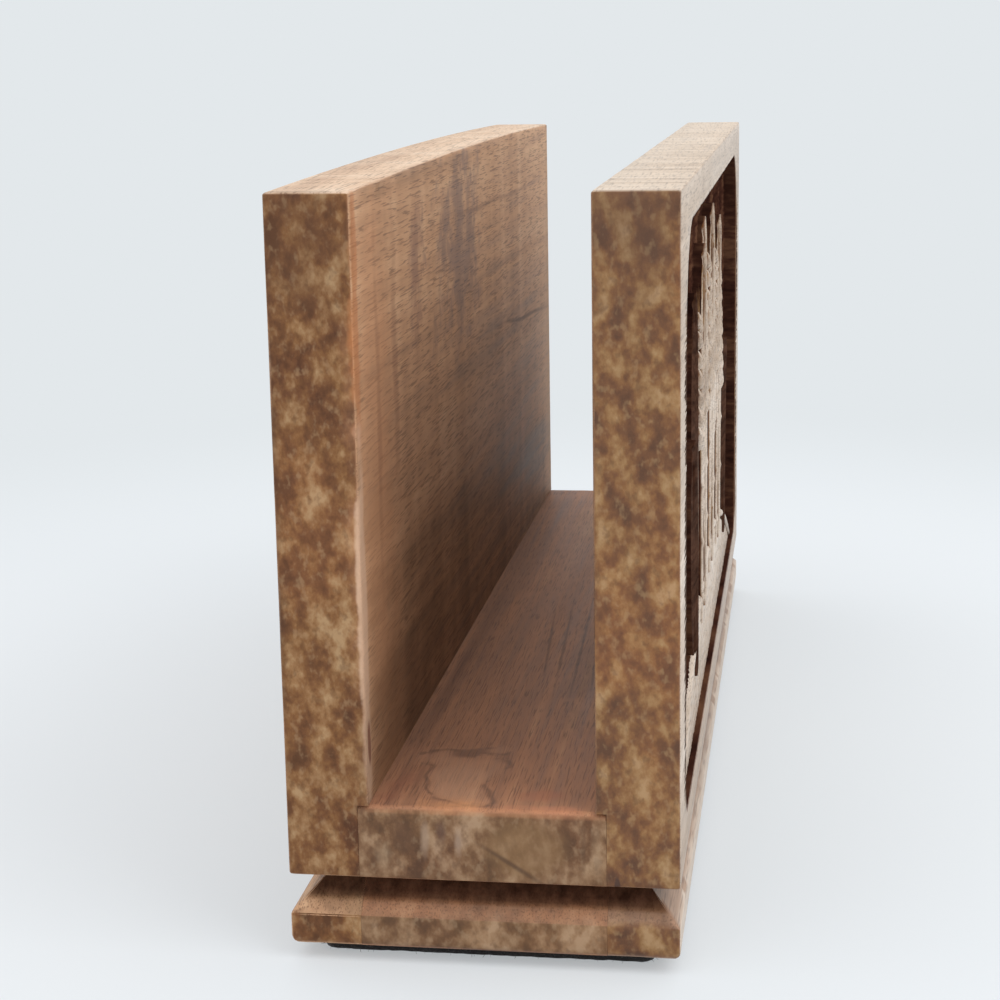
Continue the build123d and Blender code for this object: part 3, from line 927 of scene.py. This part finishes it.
def makeMound(material, scorched):
    points, faces, cut, dark = closedRelief(moundRows(), fan["embed"])
    faceY = -outline["halfWidth"]
    punch = [1.0 if y < faceY + 1.25 and moundEdge(x) - z > 2.4 and c < 0.4 else 0.0
             for (x, y, z), c in zip(points, cut)]
    piece = looseObject("punchedMound", points, faces,
                        attributes={"cut": cut, "punch": punch, "relief": [1.0] * len(points)})
    values = {"Spacing": mound["pitSpacing"] * mm, "Pit Radius": mound["pitRadius"] * mm,
              "Pit Depth": mound["pitDepth"] * mm, "Seed": mound["seed"]}
    tree, add, given = newTree("punchedGround", values)
    spots, punched = scatter(add, given, "punch", 1e6)
    near = add("GeometryNodeProximity", [spots], target_element="POINTS").outputs["Distance"]
    pit = add("MapRange", [near, given["Pit Radius"], 0.0], interpolation_type="SMOOTHSTEP")
    pit = add("Math", [pit, punched], operation="MULTIPLY")
    sink = add("Math", [pit, given["Pit Depth"]], operation="MULTIPLY")
    moved = add("GeometryNodeSetPosition", {
        "Geometry": given["Geometry"], "Offset": add("CombineXYZ", {"Y": sink})})
    # Painted shade in the pits: the cut value rises to 1 at each pit's centre
    before = add("GeometryNodeInputNamedAttribute", {"Name": "cut"}, data_type="FLOAT")
    darker = add("Math", [before, pit], operation="MAXIMUM")
    kept = add("GeometryNodeStoreNamedAttribute", {
        "Geometry": moved, "Name": "cut", "Value": darker}, data_type="FLOAT", domain="POINT")
    runTree(piece, tree, add, kept, material, values)
    finishPiece(piece, 50, [scorched], dark)


# Ground behind the leaves: the floor of the recess as the cutter left it

ground = {"halfLength": 88.4, "lowZ": 16.5, "highZ": 96.7, "pitchX": 0.45, "pitchZ": 0.42,
          "depth": 2.7, "rise": 0.42, "lump": 0.95, "embed": 3.3}


def makeGround(scorched):
    g = ground
    half, tall = g["halfLength"], g["highZ"] - g["lowZ"]
    columns, rows = round(2 * half / g["pitchX"]), round(tall / g["pitchZ"])

    def pointAt(r, c):
        x, z = -half + 2 * half * c / columns, g["lowZ"] + tall * r / rows
        lump = noise.noise(Vector((x / g["lump"], z / (0.7 * g["lump"]), 3)))
        return x, g["depth"] - g["rise"] * lump, z, 1.0

    points, faces, _, _ = closedRelief(grid(rows, columns, pointAt), g["embed"])
    makePiece("cutGround", points, faces, [scorched], sharpAngle=60)


# Grain ears: stalks, and bearded kernels in two rows up each stalk

def stalkRows(place):
    foot, tip, _, along = fanLine(place, ears["belowTips"])
    left = Vector((-along.y, along.x))
    run = (tip - along * ears["length"] * 0.2 - foot).length

    def pointAt(r, c):
        a = min(run, r * ears["stalkStep"])
        t = 1 - c / 4
        p = foot + along * a + left * t * (ears["stalkWidth"] / 2) * (1 - 0.25 * a / run)
        joint = 0.18 * bell((a % 9) - 4.5, 0.5)  # swollen joints
        # The fourth value is painted shade along the stalk's sides
        return p.x, ears["stalkDrop"] - joint * (1 - t * t) + 0.45 * t * t, p.y, 0.3 * t * t

    return grid(round(run / ears["stalkStep"]), 8, pointAt)


def kernelMesh():
    # Almond with a crease and a beard that tapers to a point, along local Z
    rings, around = 8, 8
    long, wide = ears["kernelLength"], ears["kernelWidth"] / 2
    points, faces = [(0, 0, 0)], []
    for r in range(1, rings):
        s = r / rings
        radius = wide * math.sin(math.pi * s ** 0.8) ** 0.75
        for k in range(around):
            a, crease = 2 * math.pi * k / around, 1 - 0.12 * (k % 2)
            points.append((radius * crease * math.cos(a), radius * crease * math.sin(a), long * s))
    base = len(points)
    for k in range(3):
        points.append((0.17 * math.cos(2.1 * k), 0.17 * math.sin(2.1 * k), long * 0.97))
        faces.append((base + k, base + (k + 1) % 3, base + 3))
    points += [(0, 0, long * 0.97 + ears["beard"]), (0, 0, long)]
    faces.append((base + 2, base + 1, base))
    last = 1 + (rings - 2) * around
    for k in range(around):
        j = (k + 1) % around
        faces += [(0, 1 + j, 1 + k), (last + k, last + j, base + 4)]
        faces += [(a + k, a + j, a + around + j, a + around + k) for a in range(1, last, around)]
    return points, faces


def earSet(add, given, spots, heading, sideways, size, shape, side, shift):
    # One row of kernels: moved out to its side and up the ear, leaning outwards
    reach = add("Math", [given["Spread"], float(side)], operation="MULTIPLY")
    apart = add("Math", [reach, size], operation="MULTIPLY")
    out = add("VectorMath", {0: sideways, "Scale": apart}, operation="SCALE")
    up = add("Math", [given["Step"], shift], operation="MULTIPLY")
    forward = add("VectorMath", {0: heading, "Scale": up}, operation="SCALE")
    offset = add("VectorMath", [out, forward], operation="ADD")
    moved = add("GeometryNodeSetPosition", {"Geometry": spots, "Offset": offset})
    shake = add("FunctionNodeRandomValue", {2: -0.07, 3: 0.07, "Seed": given["Seed"]},
                data_type="FLOAT")
    angle = add("Math", [given["Tilt"], -float(side), shake], operation="MULTIPLY_ADD")
    leaning = add("VectorRotate", {"Vector": heading, "Axis": (0, 1, 0), "Angle": angle},
                  rotation_type="AXIS_ANGLE")
    turned = add("FunctionNodeAlignRotationToVector", {"Vector": leaning}, axis="Z")
    return add("GeometryNodeInstanceOnPoints", {"Points": moved, "Instance": shape,
               "Rotation": turned, "Scale": size})


def makeEars(material, scorched):
    places = [s * (p + 0.5) for p in range(ears["pairs"]) for s in (-1, 1)]
    makeCarved("earStalks", [stalkRows(p) for p in places], [material, scorched])
    y = -outline["halfWidth"] + ears["drop"] + ears["kernelWidth"] / 2
    axes, edges = [], []
    for p in places:
        _, tip, _, along = fanLine(p, ears["belowTips"])
        edges.append((len(axes), len(axes) + 1))
        axes += [(q.x, y, q.y) for q in (tip - along * ears["length"],
                                         tip - along * ears["kernelLength"] * 0.9)]
    kernel = looseObject("kernelPattern", *kernelMesh())
    piece = looseObject("beardedKernels", axes, [], edges)
    step = (ears["length"] - ears["kernelLength"] * 0.9) / (ears["rows"] - 1)
    values = {"Rows": ears["rows"], "Spread": ears["spread"] * mm,
              "Tilt": math.radians(ears["tilt"]), "Taper": ears["taper"], "Step": step * mm,
              "Seed": ears["seed"]}
    tree, add, given = newTree("beardedEars", values)
    lines = add("GeometryNodeMeshToCurve", {"Mesh": given["Geometry"]})
    marked = add("GeometryNodeResampleCurve", {"Curve": lines, "Count": given["Rows"]})
    kept = {}
    for key, kind, source in (("share", "FLOAT", "GeometryNodeSplineParameter"),
                              ("heading", "FLOAT_VECTOR", "GeometryNodeInputTangent")):
        marked = add("GeometryNodeStoreNamedAttribute", {
            "Geometry": marked, "Name": key, "Value": add(source)}, data_type=kind, domain="POINT")
        kept[key] = add("GeometryNodeInputNamedAttribute", {"Name": key}, data_type=kind)
    spots = add("GeometryNodeCurveToPoints", {"Curve": marked}, mode="EVALUATED")
    sideways = add("VectorMath", [kept["heading"], (0, 1, 0)], operation="CROSS_PRODUCT")
    thinner = add("Math", [kept["share"], given["Taper"]], operation="MULTIPLY")
    size = add("Math", [1.0, thinner], operation="SUBTRACT")
    shape = add("GeometryNodeObjectInfo", {"Object": kernel}).outputs["Geometry"]
    sets = [earSet(add, given, spots, kept["heading"], sideways, size, shape, side, shift)
            for side, shift in ((-1, 0.0), (1, 0.5), (0, 0.25))]
    runTree(piece, tree, add, add("GeometryNodeJoinGeometry", [sets]), material, values)
    bpy.data.objects.remove(kernel)
    relief = piece.data.attributes.new("relief", "FLOAT", "POINT")
    relief.data.foreach_set("value", [1.0] * len(piece.data.vertices))
    finishPiece(piece, 60)


# Felt pad: black wool felt, pressed, 2 mm thick, glued under the base with its cut edge left furry

feltPad = {"halfLength": 96.5, "halfWidth": 22.5, "corner": 1.5, "edgeWave": 0.22,
           "counts": (200, 48, 3), "fibreLength": 0.9, "fibreWidth": 0.035, "fibreSpacing": 0.34,
           "lean": 0.35, "seed": 11,
           "levels": ((0.0, 0.35), (0.12, 0.12), (0.5, 0.0), (1.0, 0.03), (1.5, 0.0), (1.9, 0.06),
                      (2.0, 0.15))}  # height and inset


def makeFeltMaterial():
    # Pressed wool: no weave, tangled fibres that scatter light softly
    material, add = newMaterial("blackWoolFelt")
    coordinates = add("TexCoord").outputs["Object"]
    tangle = add("TexNoise", {"Vector": coordinates, "Scale": perMm(0.5), "Detail": 5,
                 "Roughness": 0.7, "Distortion": 1.5})
    black = add("ValToRGB", [tangle], [(0.3, "#0D0C0C"), (0.7, "#2A2726")])
    finishMaterial(add, tangle, 0.8, 0.3, {"Base Color": black, "Roughness": 0.95, "IOR": 1.45,
                   "Sheen Weight": 0.25, "Sheen Roughness": 0.5})
    return material


def furryEdge(add, given, hair):
    # Short hairs on the rim, leaning every way and kept off the surface that the holder stands on
    spots, _ = scatter(add, given, "rim", 2e7)
    outwards = add("FunctionNodeAlignRotationToVector", {"Vector": spots.outputs["Normal"]},
                   axis="Z")
    less = add("Math", [given["Lean"], -1.0], operation="MULTIPLY")
    low, high = (add("CombineXYZ", [lean, lean, turn])
                 for lean, turn in ((less, -3.14), (given["Lean"], 3.14)))
    lean = add("FunctionNodeRandomValue", {0: low, 1: high, "Seed": given["Seed"]},
               data_type="FLOAT_VECTOR")
    leaning = add("FunctionNodeEulerToRotation", [lean])
    turned = add("FunctionNodeRotateRotation", {"Rotation": outwards, "Rotate By": leaning},
                 rotation_space="LOCAL")
    size = add("FunctionNodeRandomValue", {2: 0.4, 3: 1.0, "Seed": 3}, data_type="FLOAT")
    shape = add("GeometryNodeObjectInfo", {"Object": hair}).outputs["Geometry"]
    hairs = add("GeometryNodeInstanceOnPoints", {"Points": spots, "Instance": shape,
                "Rotation": turned, "Scale": size})
    hairs = add("GeometryNodeRealizeInstances", {"Geometry": hairs})
    at = add("SeparateXYZ", [add("GeometryNodeInputPosition")]).outputs
    above = add("Math", [at["Z"], 0.02 * mm], operation="MAXIMUM")
    lifted = add("CombineXYZ", [at["X"], at["Y"], above])
    return add("GeometryNodeSetPosition", {"Geometry": hairs, "Position": lifted})


def makeFelt(material):
    f = feltPad
    levels = []
    for z, inset in f["levels"]:
        waved = []
        for x, y, onArc in sliceLoop(f["halfLength"] - inset, inset - f["halfWidth"],
                                     f["halfWidth"] - inset, f["corner"], f["corner"], f["counts"]):
            wave = 0.4 + ripple(x + 3 * y, 1.6, 50) + 0.5 * ripple(x - 2 * y + z, 0.5, 51)
            wave = f["edgeWave"] * max(0.0, wave)
            waved.append((x - math.copysign(wave, x), y - math.copysign(wave, y), onArc))
        levels.append((z, waved, False))
    points, faces, _ = stackPiece(levels, f["counts"])
    felt = makePiece("feltPad", points, faces, [material])
    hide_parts("felt_pad")

    rim = [1.0 if 0.4 < z < 1.7 else 0.0 for _, _, z in points]
    base = looseObject("feltFibres", points, faces, attributes={"rim": rim})
    long, wide = f["fibreLength"], f["fibreWidth"]
    spine = ((0, 0, -0.15, 1), (0.03, 0.02, long * 0.45, 0.9), (0.12, 0.05, long * 0.8, 0.6),
             (0.24, 0.06, long, 0.1))
    hairPoints = [(x + wide * w * math.cos(2.1 * k), y + wide * w * math.sin(2.1 * k), z)
                  for x, y, z, w in spine for k in range(3)]
    hairFaces = [(3 * r + k, 3 * r + (k + 1) % 3, 3 * r + 3 + (k + 1) % 3, 3 * r + 3 + k)
                 for r in range(3) for k in range(3)] + [(2, 1, 0), (9, 10, 11)]
    hair = looseObject("fibrePattern", hairPoints, hairFaces)
    values = {"Spacing": f["fibreSpacing"] * mm, "Lean": f["lean"], "Seed": f["seed"]}
    tree, add, given = newTree("furryEdge", values)
    runTree(base, tree, add, furryEdge(add, given, hair), material, values)
    bpy.data.objects.remove(hair)
    finishPiece(base, 80)


print("camera and tent")
makeCamera()
makeTent()
makeFloor()

backWood = makeWood("oiledSheeshamBack", backLook)
coreWood = makeWood("oiledSheeshamCore", coreLook)
frontWood = makeWood("oiledSheeshamCarved", frontLook)
scorchedWood = makeScorched()
makeBackBoard(backWood)
makeCore(coreWood)
makeFrontBoard(frontWood, scorchedWood)
makeLeaves([frontWood, scorchedWood])
makeMound(frontWood, scorchedWood)
makeGround(scorchedWood)
makeEars(frontWood, scorchedWood)
makeFelt(makeFeltMaterial())

bpy.context.scene.view_settings.view_transform = "Standard"
